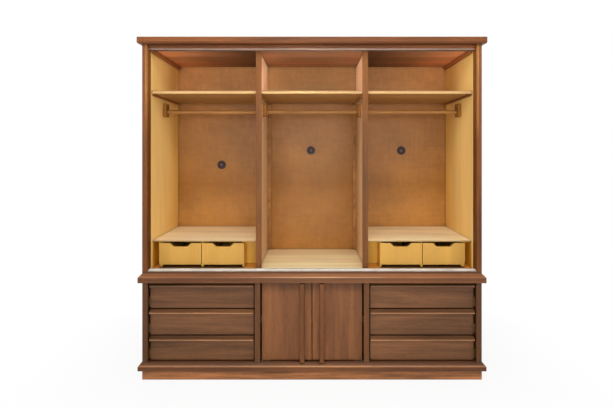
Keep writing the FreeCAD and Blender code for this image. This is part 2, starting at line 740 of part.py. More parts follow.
chest_tops = []
for side in SIDES:
    pieces = []
    for name, (near, far) in {"inner": (chest_near, f"{chest_near} + chest_panel_thickness"),
                              "middle": (middle_near, middle_far),
                              "outer": (f"{chest_far} - chest_panel_thickness", chest_far)}.items():
        pieces.append(board(f"chest_panel_{name}_{side}", mirrored(side, near, far), chest_along,
                            (upper_floor, chest_top)))
    for name, (near, far) in {"inner": (divider_outer, chest_near), "outer": (chest_far, lining_face)}.items():
        pieces.append(board(f"chest_filler_{name}_{side}", mirrored(side, near, far), filler_along,
                            (upper_floor, chest_top)))
    for cell, (front_span, (near, far)) in CELLS.items():
        name = f"inner_drawer_{side}_{cell}"
        box_low, box_high = f"({near} + inner_box_gap)", f"({far} - inner_box_gap)"
        inside = mirrored(side, f"{box_low} + inner_side_thickness", f"{box_high} - inner_side_thickness")
        height = (inner_box_bottom, f"{scoop_bottom} - inner_box_drop")
        end = f"({upper_back_face} - inner_back_gap)"
        floor = f"({inner_box_bottom} + inner_bottom_rise)"
        group(name, [
            scooped_front(f"{name}_front", mirrored(side, *front_span)),
            board(f"{name}_near", mirrored(side, box_low, f"{box_low} + inner_side_thickness"),
                  (inner_back, end), height),
            board(f"{name}_far", mirrored(side, f"{box_high} - inner_side_thickness", box_high),
                  (inner_back, end), height),
            board(f"{name}_back", inside, (f"{end} - inner_side_thickness", end), height),
            board(f"{name}_bottom", inside, (inner_back, f"{end} - inner_side_thickness"),
                  (floor, f"{floor} + inner_bottom_thickness"))])
        strip_top = f"({inner_box_bottom} - runner_play)"
        strip = (f"{strip_top} - inner_runner_height", strip_top)
        reach = "inner_box_gap + inner_side_thickness"
        pieces += [
            board(f"{name}_runner_near", mirrored(side, near, f"{near} + {reach}"), chest_along, strip),
            board(f"{name}_runner_far", mirrored(side, f"{far} - ({reach})", far), chest_along, strip)]
    group(f"inner_chest_{side}", pieces)
    chest_tops.append(eased_board(f"chest_top_{side}", mirrored(side, divider_outer, lining_face),
                                  (f"{front} + chest_top_setback", upper_back_face),
                                  (chest_top, f"{chest_top} + chest_top_thickness")))
group("inner_chest_tops", chest_tops)

# Every object has to be sound before a sub-part is written

doc.recompute()
for item in doc.Objects:
    if "Invalid" in item.State or "Error" in item.State:
        raise RuntimeError(f"{item.Label} failed: {item.State}")
os.makedirs("parts", exist_ok=True)
for item in nodes:
    if item.Shape.isNull() or not item.Shape.isValid():
        raise RuntimeError(f"{item.Label} has no valid shape")
for item in nodes:
    item.Shape.exportStep(f"parts/{item.Label}.step")
print(f"{len(nodes)} sub-parts, {sum(len(item.Shape.Solids) for item in nodes)} solids")
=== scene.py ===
import math

import bpy
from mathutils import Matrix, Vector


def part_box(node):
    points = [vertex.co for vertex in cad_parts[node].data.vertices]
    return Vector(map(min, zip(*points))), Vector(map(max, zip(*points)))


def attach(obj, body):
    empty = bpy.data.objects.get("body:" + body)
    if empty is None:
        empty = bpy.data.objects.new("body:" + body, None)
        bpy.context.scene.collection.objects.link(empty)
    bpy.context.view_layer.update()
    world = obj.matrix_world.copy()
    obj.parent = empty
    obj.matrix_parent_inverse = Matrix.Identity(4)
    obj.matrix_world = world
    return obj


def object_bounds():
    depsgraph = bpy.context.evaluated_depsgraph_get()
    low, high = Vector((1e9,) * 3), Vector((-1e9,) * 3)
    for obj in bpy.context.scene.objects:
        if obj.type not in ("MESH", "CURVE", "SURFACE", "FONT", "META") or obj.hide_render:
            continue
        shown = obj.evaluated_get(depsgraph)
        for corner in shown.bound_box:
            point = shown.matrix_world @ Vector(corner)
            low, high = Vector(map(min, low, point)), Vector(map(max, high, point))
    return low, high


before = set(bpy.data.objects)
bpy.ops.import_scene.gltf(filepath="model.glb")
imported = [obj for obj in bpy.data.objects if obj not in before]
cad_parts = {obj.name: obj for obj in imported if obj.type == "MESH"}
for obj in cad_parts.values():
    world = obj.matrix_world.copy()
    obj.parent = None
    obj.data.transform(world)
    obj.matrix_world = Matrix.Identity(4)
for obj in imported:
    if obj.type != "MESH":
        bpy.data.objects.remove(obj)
cad_low, cad_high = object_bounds()

# Plinth and base moulding
# Solid walnut boards that carry the lower case, flush with its front and sides. The moulding
# with its bevelled top is glued over the joint and mitred at both corners.


def paint(red, green, blue):
    """A colour given as it looks on a screen, 0 to 255, in the light values that a shader takes."""
    shares = [channel / 255 for channel in (red, green, blue)]
    return [s / 12.92 if s < 0.04045 else ((s + 0.055) / 1.055) ** 2.4 for s in shares] + [1.0]


def toned(colour, share):
    """A lighter or darker tone of a colour."""
    return [min(1.0, channel * share) for channel in colour[:3]] + [1.0]


def plug(tree, value, socket):
    """Sets a socket to a value, or links it to another node's output."""
    if isinstance(value, bpy.types.NodeSocket):
        tree.links.new(value, socket)
    else:
        socket.default_value = value


def add(tree, kind, **wires):
    """Adds one shader node. Each wire is a socket's name, or _ and its number, with a value or an output."""
    made = tree.nodes.new(f"ShaderNode{kind}")
    for name, value in wires.items():
        plug(tree, value, made.inputs[int(name[1:]) if name[0] == "_" else name.replace("_", " ")])
    return made


def maths(tree, operation, *terms):
    """One sum of up to three terms."""
    made = add(tree, "Math", **{f"_{place}": term for place, term in enumerate(terms)})
    made.operation = operation
    return made.outputs[0]


def blended(tree, *parts):
    """Patterns added up, each taken times its share."""
    total = 0.0
    for pattern, share in parts:
        total = maths(tree, "MULTIPLY_ADD", pattern, share, total)
    return total


# A Mix node's first colour or vector and its result, by their numbers.
MIX_SOCKETS = {"RGBA": (6, 2), "VECTOR": (4, 1)}


def mixed(tree, factor, first, second, kind="RGBA"):
    """One colour, or one vector, laid over another."""
    made = tree.nodes.new("ShaderNodeMix")
    made.data_type = kind
    start, result = MIX_SOCKETS[kind]
    for number, value in ((0, factor), (start, first), (start + 1, second)):
        plug(tree, value, made.inputs[number])
    return made.outputs[result]


def scaled(tree, colour, shares):
    """A colour with each channel taken times a share."""
    made = add(tree, "VectorMath", _0=colour, _1=shares)
    made.operation = "MULTIPLY"
    return made.outputs[0]


def dimmed(tree, colour, share):
    """A colour taken times a share that differs over the surface."""
    return scaled(tree, colour, add(tree, "CombineXYZ", X=share, Y=share, Z=share).outputs[0])


def ranged(tree, value, low, high, start=0.0, end=1.0):
    """A value brought from one range into another."""
    return add(tree, "MapRange", Value=value, _1=start, _2=end, _3=low, _4=high).outputs[0]


def ramp(tree, factor, *stops):
    """A run of colours, each with the place where it stands."""
    made = add(tree, "ValToRGB", _0=factor)
    elements = made.color_ramp.elements
    while len(elements) < len(stops):
        elements.new(0.5)
    for element, (place, colour) in zip(elements, stops):
        element.position = place
        element.color = colour
    return made.outputs[0]


def tones(tree, factor, colour, *stops):
    """A run of tones of one colour, each with its place and how much paler or darker it is."""
    middle = paint(*colour)
    return ramp(tree, factor, *((place, toned(middle, share)) for place, share in stops))


def noise(tree, vector, scale, detail=4.0, roughness=0.55, distortion=0.0):
    return add(tree, "TexNoise", Vector=vector, Scale=scale, Detail=detail, Roughness=roughness,
               Distortion=distortion).outputs[0]


def new_material(name):
    material = bpy.data.materials.new(name)
    material.use_nodes = True
    material.node_tree.nodes.clear()
    return material, material.node_tree


# The gloss of every finish, and how strongly and how deep its relief shows.
SHEEN = 0.2
RELIEF_STRENGTH = 0.6
GRAIN_RELIEF = 0.0003


def finish_surface(tree, colour, roughness, height, relief=GRAIN_RELIEF, metallic=0.0):
    """The shader that every finish ends in: a colour, a sheen, and a pattern raised by a relief in metres."""
    raised = add(tree, "Bump", Strength=RELIEF_STRENGTH, Distance=relief, Height=height)
    surface = add(tree, "BsdfPrincipled", Base_Color=colour, Roughness=roughness, Metallic=metallic,
                  Specular_IOR_Level=SHEEN, Normal=raised.outputs[0])
    add(tree, "OutputMaterial", Surface=surface.outputs[0])


def own_place(tree):
    return add(tree, "TexCoord").outputs["Object"]


def own_xyz(tree):
    """Where the surface stands, along the piece's own X, Y and Z."""
    return add(tree, "SeparateXYZ", Vector=own_place(tree)).outputs


def facing(tree):
    """Which way the surface faces, along the piece's own X, Y and Z."""
    return add(tree, "SeparateXYZ", Vector=add(tree, "TexCoord").outputs["Normal"]).outputs


# The width of a cloud of figure and of a line of grain, as shares of their lengths.
FIGURE_STRETCH = 0.14
GRAIN_STRETCH = 0.04


def grain_space(tree, grain, offset=(0.0, 0.0, 0.0), stretch=GRAIN_STRETCH):
    """The piece's own coordinates, drawn out along its grain. MITRED turns with a moulding's returns."""
    place = own_place(tree)
    if grain == "MITRED":
        x, y, z = own_xyz(tree)
        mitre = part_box("lower_side_right")[1].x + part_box("plinth")[0].y
        on_return = maths(tree, "GREATER_THAN", maths(tree, "ADD", maths(tree, "ABSOLUTE", x), y), mitre)
        turned = add(tree, "CombineXYZ", X=y, Y=x, Z=z).outputs[0]
        place = mixed(tree, on_return, place, turned, "VECTOR")
        grain = "X"
    scale = [stretch if axis == grain else 1.0 for axis in "XYZ"]
    return add(tree, "Mapping", Vector=place, Location=offset, Scale=scale).outputs[0]


# How squarely a surface faces along X, Y or Z: from where to where it turns from a bevel into an eased
# edge, and from that into a flat. A top, an underside or a front faces its own way by more than FLAT.
BEVEL_TO_EDGE = (0.72, 0.78)
EDGE_TO_FLAT = (0.95, 0.99)
FLAT = 0.85
TURNED_DOWN = -0.2


def stands(tree):
    """Shares of 1 where a surface is an eased edge, a bevel, a top, an underside or a front. An edge that
    faces down counts apart."""
    x, y, z = facing(tree)
    square = maths(tree, "MAXIMUM", maths(tree, "ABSOLUTE", x), maths(tree, "ABSOLUTE", y))
    square = maths(tree, "MAXIMUM", square, maths(tree, "ABSOLUTE", z))
    bevel = ranged(tree, square, 1.0, 0.0, *BEVEL_TO_EDGE)
    top = maths(tree, "GREATER_THAN", z, FLAT)
    edge = maths(tree, "SUBTRACT", ranged(tree, square, 1.0, 0.0, *EDGE_TO_FLAT), bevel)
    edge = maths(tree, "MULTIPLY", edge, maths(tree, "SUBTRACT", 1.0, top))
    down = maths(tree, "LESS_THAN", z, TURNED_DOWN)
    return {"edge": maths(tree, "MULTIPLY", edge, maths(tree, "SUBTRACT", 1.0, down)),
            "lower_edge": maths(tree, "MULTIPLY", edge, down),
            "bevel": bevel,
            "top": top,
            "under": maths(tree, "LESS_THAN", z, -FLAT),
            "front": maths(tree, "LESS_THAN", y, -FLAT)}


# The blur of a border that isn't given as soft, and a start at which a span has no lower border.
CRISP = 0.0005
OPEN = -1.0


def within(tree, **spans):
    """1 inside the given spans of the piece's own X, Y and Z, and 0 elsewhere. X counts from the middle, and
    a third number in a span is how soft its borders are."""
    x, y, z = own_xyz(tree)
    places = {"x": maths(tree, "ABSOLUTE", x), "y": y, "z": z}
    share = 1.0
    for axis, (low, high, *soft) in spans.items():
        blur = soft[0] if soft else CRISP
        past_low = ranged(tree, places[axis], 0.0, 1.0, low - blur, low + blur)
        before_high = ranged(tree, places[axis], 1.0, 0.0, high - blur, high + blur)
        share = maths(tree, "MULTIPLY", share, maths(tree, "MULTIPLY", past_low, before_high))
    return share


def patch(share, **spans):
    """How much paler or darker a piece is within these spans: one share, or one per channel."""
    return spans, share


def retoned(tree, shade, where, share):
    """A shade made paler or darker over a part of the surface."""
    shares = share if isinstance(share, tuple) else (share, share, share)
    return mixed(tree, where, shade, scaled(tree, shade, shares))


def patched(tree, shade, *patches):
    """A shade with its patches, each laid over the ones before it."""
    for spans, share in patches:
        shade = retoned(tree, shade, within(tree, **spans), share)
    return shade


# How open the room before a surface is where the painted shade is darkest, and where none is left.
CLOSED_IN = 0.12
CLEAR = 0.8


def shaded_in_corners(tree, shade, reach, darkest):
    """Painted shade in the gaps and corners: a shade that darkens where other pieces stand near."""
    room = add(tree, "AmbientOcclusion", Distance=reach).outputs["AO"]
    return dimmed(tree, shade, ranged(tree, room, darkest, 1.0, CLOSED_IN, CLEAR))


# What streaks, figure and fine lines add to the tone, and the tones of the darkest, middle and palest wood.
STREAK_SHARE = 0.35
FIGURE_SHARE = 0.4
LINE_SHARE = 0.25
DARK_TONE = 0.38
MIDDLE_TONE = 0.5
PALE_TONE = 0.62
# How close the pores stand, how many there are, how dark they are, how lines rise and pores fall, and
# between what the roughness of oiled wood lies.
PORE_SCALE = 620.0
PORE_LIMIT = 0.36
PORE_SHADE = 0.35
LINE_RISE = 0.6
PORE_FALL = -0.5
OILED = (0.38, 0.54)


def wood(name, colour, grain, offset=(0.0, 0.0, 0.0), spread=0.3, streak=16.0, fine=110.0, pores=0.5,
         faces=None, patches=(), reach=0.025, darkest=0.2, unshaded=None):
    """Planed and oiled wood: clouds of figure, streaks, and short dark pores along the grain.

    Spread is how far its tones part, streak and fine are how close its streaks and lines stand, and
    pores is how strongly the pores show. Faces gives how much paler or darker its edges, bevels, tops,
    undersides or fronts are, and patches the same for spans of it. Reach and darkest say how far the
    painted shade comes out of its corners and how dark it makes them. Within the spans of unshaded
    there is none."""
    material, tree = new_material(name)
    space = grain_space(tree, grain, offset)
    clouds = grain_space(tree, grain, offset, FIGURE_STRETCH)
    figure = noise(tree, clouds, streak / 2, detail=3.0, distortion=0.8)
    streaks = noise(tree, space, streak, detail=3.0, roughness=0.6, distortion=0.7)
    lines = noise(tree, space, fine, roughness=0.65)
    tone = blended(tree, (streaks, STREAK_SHARE), (figure, FIGURE_SHARE), (lines, LINE_SHARE))
    shade = tones(tree, tone, colour,
                  (DARK_TONE, 1.0 - spread), (MIDDLE_TONE, 1.0), (PALE_TONE, 1.0 + spread))
    if faces:
        shares = stands(tree)
        for face, share in faces.items():
            shade = retoned(tree, shade, shares[face], share)
    shade = patched(tree, shade, *patches)
    pore = maths(tree, "LESS_THAN", noise(tree, space, PORE_SCALE, detail=1.0), PORE_LIMIT)
    shade = retoned(tree, shade, maths(tree, "MULTIPLY", pore, pores), PORE_SHADE)
    # Painted shade in the gaps and corners, left out within the unshaded spans.
    corner_shaded = shaded_in_corners(tree, shade, reach, darkest)
    shade = mixed(tree, within(tree, **unshaded), corner_shaded, shade) if unshaded else corner_shaded
    height = blended(tree, (lines, LINE_RISE), (pore, PORE_FALL))
    finish_surface(tree, shade, ranged(tree, tone, *OILED), height)
    return material


def dress(material, *names):
    """Gives a finish to the solids of these names."""
    for name in names:
        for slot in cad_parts[name].material_slots:
            slot.material = material


base_foot, base_top = (corner.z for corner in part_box("base_moulding"))
# Painted shadow under the moulding along the top of the plinth. The plinth is paler towards the floor.
shadow_under_moulding = patch(0.65, z=(base_foot - 0.008, base_foot, 0.01))
paler_near_floor = patch(1.15, z=(0.0, base_foot - 0.04, 0.01))
dress(wood("walnut_plinth", (135, 86, 51), "MITRED", offset=(0.0, 0.3, 0.2), spread=0.6, streak=30.0,
           patches=[shadow_under_moulding, paler_near_floor], reach=0.008),
      "plinth")
# Painted highlights make the edges and the nose paler and less red than the sides, with a painted
# sheen before the cupboard. The back of the bevel carries painted shade.
EDGE_HIGHLIGHT = (1.8, 2.1, 2.5)
BEFORE_CUPBOARD = (OPEN, 0.3, 0.2)
shade_at_bevel_back = patch(0.4, z=(base_top - 0.005, base_top + 0.01, 0.007))
sheen_before_cupboard = patch((1.5, 1.5, 1.4), x=BEFORE_CUPBOARD)
nose_highlight = patch((2.4, 2.8, 3.3), z=(base_top - 0.0185, base_top - 0.013, 0.0015))
dress(wood("walnut_base", (84, 50, 27), "MITRED", offset=(1.4, 0.0, 0.7), faces={"edge": EDGE_HIGHLIGHT},
           patches=[shade_at_bevel_back, sheen_before_cupboard, nose_highlight]),
      "base_moulding")

# Lower case
# Veneered boards, sides and partitions, with solid walnut stiles glued on their front edges. The
# back is a thin panel let in between the sides.
beside_cupboard = patch(1.7, x=(0.0, 0.4))
dress(wood("walnut_lower_stile", (76, 46, 23), "Z", offset=(0.2, 0.1, 0.0), patches=[beside_cupboard],
           darkest=0.05),
      "lower_stiles")
WALNUT_VENEER = (116, 72, 44)
PLAIN_VENEER = (128, 86, 54)
dress(wood("walnut_lower_side", WALNUT_VENEER, "Z", offset=(0.0, 0.7, 0.3), streak=9.0),
      "lower_side_left", "lower_side_right")
dress(wood("walnut_boards", WALNUT_VENEER, "MITRED", offset=(0.4, 0.0, 0.1), streak=12.0, faces={"top": 0.8}),
      "lower_bottom_board", "lower_top_board")
dress(wood("carcass_veneer", PLAIN_VENEER, "Z", offset=(0.9, 0.0, 0.0), streak=8.0), "lower_partitions")
dress(wood("carcass_shelf", PLAIN_VENEER, "X", offset=(0.2, 0.0, 0.0), streak=8.0), "cupboard_shelf")

# Lower drawers
# Each front is a walnut board with a solid lip along its top that serves as the pull. The box
# behind it is pale hardwood with a plywood bottom, and it runs on waxed hardwood strips.
SIDES = ("left", "right")
ROWS = ("top", "middle", "bottom")
LIP_HEIGHT = 0.024
LIP_SHADOW = 0.065
# Painted highlight on the lip below its middle and painted shadow on its upper half, by row. Under the
# lip the board has painted shade in the top row and painted light in the others.
LIP_HIGHLIGHTS = {"top": (1.1, 1.3, 1.6), "middle": (2.2, 2.5, 2.9), "bottom": (2.2, 2.5, 2.9)}
LIP_TOP_SHADOWS = {"top": 0.45, "middle": 0.85, "bottom": 0.85}
UNDER_LIP_LIGHTING = {"top": 0.75, "middle": 1.15, "bottom": 1.2}
dark_end = patch(0.7, x=(0.72, 1.2, 0.3))
# Each front is cut from another stretch of the figure.
ROW_SHIFT = 0.37
ROW_RISE = 0.21
COLUMN_SHIFT = 1.3
for column, side in enumerate(SIDES):
    for number, row in enumerate(ROWS):
        front = f"drawer_front_{side}_{row}"
        foot, top = (corner.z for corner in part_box(front))
        highlight_on_lip = patch(LIP_HIGHLIGHTS[row], z=(top - 0.85 * LIP_HEIGHT, top - 0.6 * LIP_HEIGHT, 0.002))
        shadow_on_lip_top = patch(LIP_TOP_SHADOWS[row], z=(top - 0.5 * LIP_HEIGHT, top, 0.001))
        lighting_under_lip = patch(UNDER_LIP_LIGHTING[row], z=(top - LIP_SHADOW, top - LIP_HEIGHT, 0.015))
        dark_foot = patch(0.85, z=(foot - 0.02, foot + 0.03, 0.02))
        dress(wood(f"walnut_drawer_{side}_{row}", (104, 68, 41), "X",
                   offset=(ROW_SHIFT * number + COLUMN_SHIFT * column, 0.0, ROW_RISE * number), spread=0.45,
                   patches=[highlight_on_lip, shadow_on_lip_top, lighting_under_lip, dark_foot, dark_end],
                   reach=0.02, darkest=0.02),
              front)
DRAWER_BOXES = [f"drawer_box_{side}_{row}" for side in SIDES for row in ROWS]
dress(wood("drawer_sides", (206, 164, 104), "Y", spread=0.12, streak=14.0, pores=0.15), *DRAWER_BOXES)
dress(wood("runner_strips", (164, 122, 80), "Y", offset=(0.1, 0.0, 0.0), spread=0.15, pores=0.25),
      "drawer_runners")

# Cupboard doors
# Veneered doors with upright figure, each with a full-height bar of solid walnut as its pull.
# They turn on knife hinges at top and bottom and are held shut by magnets.
door_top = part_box("door_left")[1].z
# Painted shadow from the waist moulding across the top of each door, and painted light beside the pulls.
hinge_side = patch(0.75, x=(0.27, 0.4, 0.03))
light_beside_pulls = patch(1.18, x=(0.0, 0.1, 0.025))
shadow_under_waist = patch(0.5, z=(door_top - 0.03, 1.0, 0.04))
for number, side in enumerate(SIDES):
    dress(wood(f"walnut_door_{side}", (115, 72, 41), "Z", offset=(0.8 * number, 0.0, 0.1), spread=0.4,
               streak=11.0, patches=[hinge_side, light_beside_pulls, shadow_under_waist], reach=0.015, darkest=0.75),
          f"door_{side}")
dress(wood("walnut_pull", (99, 59, 30), "Z", offset=(0.5, 0.2, 0.0), streak=24.0, darkest=0.6),
      "door_pull_left", "door_pull_right")

# Places of the dark and the pale tone of metal with their shares, and the scale of its two patterns.
METAL_TONES = ((0.35, 0.8), (0.65, 1.15))
DRAWN_LINES = 380.0
METAL_BLOTCHES = 14.0
METAL_RELIEF = 0.0001


def metal(name, colour, rough, bare=1.0):
    """Drawn or rolled metal with faint lines along X. Bare is less than 1 under a dull skin."""
    material, tree = new_material(name)
    lines = noise(tree, grain_space(tree, "X"), DRAWN_LINES, detail=3.0)
    blotch = noise(tree, own_place(tree), METAL_BLOTCHES, detail=3.0)
    shade = tones(tree, blended(tree, (blotch, 0.5), (lines, 0.5)), colour, *METAL_TONES)
    finish_surface(tree, shade, ranged(tree, blotch, *rough), lines, METAL_RELIEF, bare)
    return material


dress(metal("plated_fittings", (146, 136, 118), (0.28, 0.45)), "hinge_case_plates", "door_fittings_left",
      "door_fittings_right")

# The same of plastic, with its roughness.
PLASTIC_TONES = ((0.3, 0.85), (0.7, 1.15))
PLASTIC_CLOUDS = 60.0
PLASTIC_SKIN = 2400.0
SKIN_RELIEF = 0.00008
MATT = (0.42, 0.6)


def plastic(name, colour):
    """Moulded plastic with a fine matt skin."""
    material, tree = new_material(name)
    place = own_place(tree)
    skin = noise(tree, place, PLASTIC_SKIN, detail=2.0)
    shade = tones(tree, noise(tree, place, PLASTIC_CLOUDS, detail=3.0), colour, *PLASTIC_TONES)
    finish_surface(tree, shade, ranged(tree, skin, *MATT), skin, SKIN_RELIEF)
    return material


dress(plastic("catch_plastic", (64, 48, 42)), "door_catches")

# Waist moulding
# A bevelled walnut moulding, mitred at both corners and glued over the joint of the two cases. Its
# nose and bevel carry painted highlights and a painted sheen, brightest before the cupboard, and
# painted light runs along its foot.
waist_foot, waist_top = (corner.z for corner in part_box("waist_moulding"))
waist_nose = (waist_top - 0.0205, waist_top - 0.0155, 0.001)
sheen_middle = patch((1.1, 1.2, 1.35), x=(OPEN, 0.3, 0.4))
light_at_waist_foot = patch(1.25, z=(waist_foot, waist_foot + 0.011, 0.003))
nose_highlight = patch((1.2, 1.35, 1.5), z=waist_nose)
brightest_nose_highlight = patch((1.7, 2.1, 2.6), z=waist_nose, x=BEFORE_CUPBOARD)
dress(wood("walnut_waist", (92, 55, 30), "MITRED", offset=(2.1, 0.0, 0.3),
           faces={"edge": EDGE_HIGHLIGHT, "bevel": 1.8},
           patches=[sheen_middle, light_at_waist_foot, nose_highlight, brightest_nose_highlight], reach=0.01),
      "waist_moulding")

# Floor of the upper case
# A thick board that lies on the lower case, veneered pale on top behind the sill track, with a painted
# golden bounce light over it in the outer bays. Its walnut front edge shows above the waist moulding.
FLOOR_WALNUT = (80, 50, 29)
FLOOR_PALE = (254, 229, 178)
# A painted golden light that bounces between the pale panels of the outer bays.
FLOOR_BOUNCE_LIGHT = (196, 130, 52)
# How close its figure stands, the places of its dark and its pale tone, and its roughness.
FLOOR_FIGURE = 12.0
FLOOR_DARK = 0.36
FLOOR_LIGHT = 0.64
LACQUERED = (0.4, 0.55)


def floor_finish():
    """Walnut, with the pale veneer and the painted golden bounce light laid over it where they show, and
    painted shade under the inner drawers.
    """
    material, tree = new_material("floor_board")
    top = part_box("upper_bottom_board")[1]
    sill_front, sill_back = (corner.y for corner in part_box("bottom_track"))
    veneered = {"y": (sill_front, top.y), "z": (top.z - CRISP, 1.0)}
    outer_bay = veneered | {"x": (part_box("divider_right")[0].x, top.x), "y": (sill_back, top.y)}
    drawers = (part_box("inner_drawer_right_inner")[0].x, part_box("inner_drawer_right_outer")[1].x, 0.005)
    shade_under_drawers = patch(0.25, **outer_bay | {"x": drawers})
    tone = noise(tree, grain_space(tree, "X"), FLOOR_FIGURE, detail=5.0, distortion=0.6)
    walnut, pale, golden = (
        tones(tree, tone, colour, (FLOOR_DARK, 1.0 - spread), (FLOOR_LIGHT, 1.0 + spread))
        for colour, spread in ((FLOOR_WALNUT, 0.24), (FLOOR_PALE, 0.14), (FLOOR_BOUNCE_LIGHT, 0.14)))
    shade = mixed(tree, within(tree, **veneered), walnut, pale)
    shade = mixed(tree, within(tree, **outer_bay), shade, golden)
    shade = patched(tree, shade, shade_under_drawers)
    shade = shaded_in_corners(tree, shade, reach=0.03, darkest=0.08)
    finish_surface(tree, shade, ranged(tree, tone, *LACQUERED), tone)
    return material


dress(floor_finish(), "upper_bottom_board")

# Upper sides and stiles
# Walnut sides outside, lined inside with pale lacquered panels. A deep solid stile stands at each
# front edge, its inner corner worked to a round.
round_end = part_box("side_linings")[1].x - 0.0005
# Painted highlights along the round of each stile's inner corner and on its edges, brightest high up. The
# stiles are paler high up and darker lower down.
HIGHLIGHT_HEIGHT = (1.6, 2.1, 0.2)
inner_side = patch((0.9, 0.9, 0.62), x=(0.9, round_end + 0.003, 0.003))
paler_top = patch((1.3, 1.5, 1.75), z=(1.6, 2.1, 0.25))
highlight_line = patch((1.6, 2.1, 3.0), x=(round_end, 0.996, 0.001), z=HIGHLIGHT_HEIGHT)
highlight_on_round = patch((1.7, 2.0, 2.8), x=(0.9, round_end, 0.001), z=HIGHLIGHT_HEIGHT)
darker_foot = patch(0.8, z=(0.6, 1.1, 0.2))
dress(wood("walnut_upper_stile", (101, 55, 22), "Z", offset=(0.3, 0.0, 0.0), streak=24.0, faces={"edge": 1.4},
           patches=[inner_side, paler_top, highlight_line, highlight_on_round, darker_foot]),
      "upper_stiles")
dress(wood("walnut_upper_side", WALNUT_VENEER, "Z", offset=(0.0, 0.4, 0.0), streak=8.0),
      "upper_side_left", "upper_side_right")
CHEST_SETBACK = 0.035
chest_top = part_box("inner_chest_tops")[1].z
chest_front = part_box("side_linings")[0].y + CHEST_SETBACK
shelf_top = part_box("hat_shelves")[1].z
HAT_SPACE = {"z": (shelf_top, 2.0)}
# Painted shade on the linings under the chest tops and painted light above the hat shelves. The linings grow
# yellower towards the back.
shade_under_chest_top = patch((0.66, 0.46, 0.08), z=(0.0, chest_top), y=(chest_front, 1.0, 0.008))
lit_above_shelf = patch((1.2, 1.25, 1.25), **HAT_SPACE)
yellower_to_back = patch((1.05, 1.0, 0.7), y=(0.2, 0.4, 0.15))
dress(wood("pale_lining", (235, 194, 118), "Z", offset=(0.0, 0.1, 0.0), spread=0.1, streak=9.0, fine=70.0,
           pores=0.05, patches=[shade_under_chest_top, lit_above_shelf, yellower_to_back], darkest=0.6),
      "side_linings")

# Dividers
# Veneered panels between the bays that stand on the floor board and reach to the ceiling. A wider
# solid facing is glued on the front edge of each.
# Painted light on the dividers above the hat shelves.
lit_above_shelf = patch((1.35, 1.3, 1.4), **HAT_SPACE)
dress(wood("divider_veneer", (206, 166, 123), "Z", spread=0.14, streak=9.0, pores=0.15,
           patches=[lit_above_shelf]),
      "divider_left", "divider_right")
darker_middle = patch(0.83, z=(0.95, 1.55, 0.2))
dress(wood("divider_facing", (109, 64, 22), "Z", offset=(0.6, 0.0, 0.0), streak=24.0,
           patches=[darker_middle]),
      "divider_facings")

# Back panels and cable grommets
# Stained plywood with a cloudy, blotched figure and painted light that changes with the height,
# brightest above the hat shelves. It is plain at the rear.
# A dark plastic grommet is pressed into each panel and closed by a cap.
REAR_STAIN = (160, 113, 64)
# The stain of the front with painted light over it, by shares of a panel's height.
STAIN_AND_LIGHT = ((0.2, (168, 115, 54)), (0.36, (142, 93, 34)), (0.62, (165, 115, 62)), (0.8, (158, 107, 57)),
         (0.84, (206, 149, 89)))
# Between what its roughness and its tone lie, and how close its clouds, blotches and streaks stand.
STAINED = (0.3, 0.5)
CONTRAST = (0.8, 1.2)
CLOUDS = 3.0
BLOTCHES = 26.0
WEAVE = 60.0
PANEL_JOINT = 0.33


def back_finish():
    """Stain with painted light that changes with the height, over clouds, blotches and a weave of fine
    streaks.
    """
    material, tree = new_material("stained_plywood")
    place = own_place(tree)
    cloud = noise(tree, place, CLOUDS, detail=5.0, distortion=0.4)
    blotch = noise(tree, place, BLOTCHES, roughness=0.65)
    upright, level = (noise(tree, grain_space(tree, axis, stretch=FIGURE_STRETCH), WEAVE) for axis in "ZX")
    tone = blended(tree, (blotch, 0.2), (cloud, 0.5), (upright, 0.15), (level, 0.15))
    low, high = (corner.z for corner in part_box("back_panels"))
    height = ranged(tree, own_xyz(tree)[2], 0.0, 1.0, low, high)
    shade = ramp(tree, height, *((stop, paint(*colour)) for stop, colour in STAIN_AND_LIGHT))
    centre_panel = (0.0, PANEL_JOINT)
    darker_centre = patch((0.92, 0.9, 0.84), x=centre_panel, z=(0.6, 1.25, 0.2))
    paler_outer_feet = patch((1.07, 1.1, 1.12), x=(PANEL_JOINT, 1.0), z=(0.6, 1.0, 0.1))
    darker_centre_top = patch((0.75, 0.81, 0.81), x=centre_panel, z=(shelf_top, high))
    shade = patched(tree, shade, darker_centre, paler_outer_feet, darker_centre_top)
    at_rear = maths(tree, "GREATER_THAN", facing(tree)[1], FLAT)
    shade = mixed(tree, at_rear, shade, paint(*REAR_STAIN))
    shade = dimmed(tree, shade, ranged(tree, tone, *CONTRAST, DARK_TONE, PALE_TONE))
    shade = shaded_in_corners(tree, shade, reach=0.04, darkest=0.5)
    finish_surface(tree, shade, ranged(tree, blotch, *STAINED), upright)
    return material


dress(back_finish(), "back_panels", "lower_back_panel")
GROMMET_RIM = plastic("grommet_rim", (48, 34, 34))
GROMMET_DISH = plastic("grommet_dish", (94, 80, 84))
dress(GROMMET_RIM, "grommet_sleeves", "grommet_caps")


def solids_along_x(name):
    """The lowest and highest corners of each solid of a node whose solids stand apart along X."""
    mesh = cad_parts[name].data
    faces = [[mesh.vertices[corner].co for corner in face.vertices] for face in mesh.polygons]
    groups = []
    for face in sorted(faces, key=lambda corners: min(corner.x for corner in corners)):
        if not groups or min(corner.x for corner in face) > max(corner.x for corner in groups[-1]):
            groups.append([])
        groups[-1] += face
    return [[[pick(corner[axis] for corner in group) for axis in range(3)] for pick in (min, max)]
            for group in groups]


